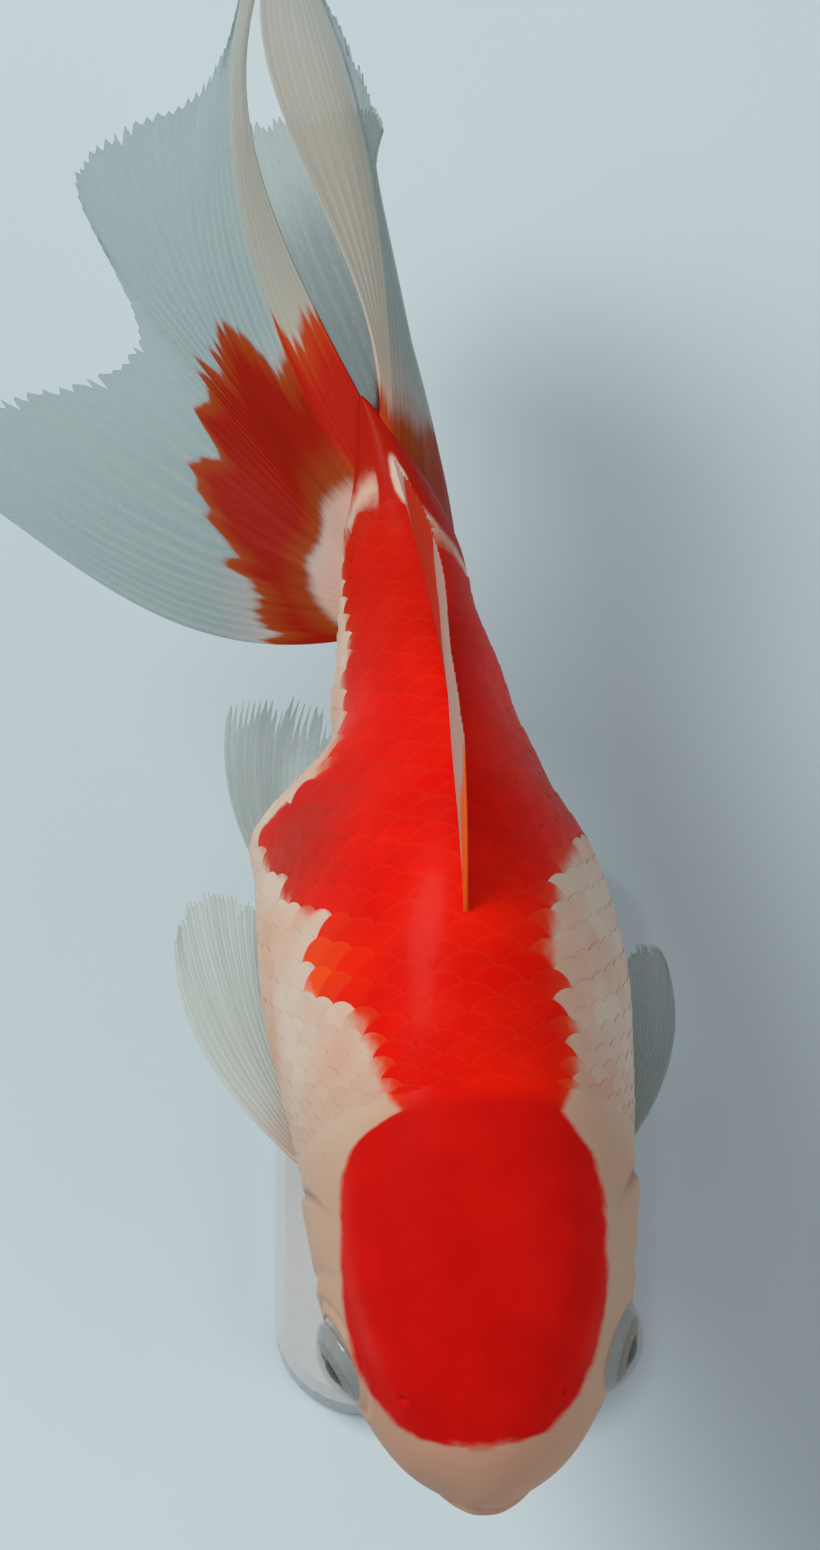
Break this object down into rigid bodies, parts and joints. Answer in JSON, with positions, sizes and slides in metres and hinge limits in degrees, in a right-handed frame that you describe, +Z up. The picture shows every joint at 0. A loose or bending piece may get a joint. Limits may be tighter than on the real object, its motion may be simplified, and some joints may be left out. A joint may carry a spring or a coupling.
{
  "type": "goldfish display model",
  "caption": "Life-size still model of a swimming red-and-white goldfish with a double tail fin, held over a flat base by short rods.",
  "frame": {"origin": "middle of the underside of the stand's base", "axes": "+Z up; the fish faces -Y, so +Y runs from its snout to its tail and +X is its left side"},
  "size_m": [0.0904, 0.1953, 0.112],
  "materials": {
    "skin_red": "satin, scaled",
    "skin_white": "satin",
    "fin": "translucent, ribbed with fin rays",
    "eye": "wet gloss",
    "stand_plate": "satin pale grey",
    "stand_rod": "brushed"
  },
  "bodies": {
    "root": {"head": "skin_red", "lower_jaw": "skin_white", "gill_cover_left": "skin_white", "gill_cover_right": "skin_white", "trunk": "skin_red", "tail_stalk": "skin_red", "eye_left": "eye", "eye_right": "eye", "dorsal_fin": "fin", "pectoral_fin_left": "fin", "pectoral_fin_right": "fin", "pelvic_fin_left": "fin", "pelvic_fin_right": "fin", "anal_fin_left": "fin", "anal_fin_right": "fin", "tail_fin_left": "fin", "tail_fin_right": "fin", "stand_base": "stand_plate", "stand_rod_front": "stand_rod", "stand_rod_rear": "stand_rod"}
  },
  "joints": []
}
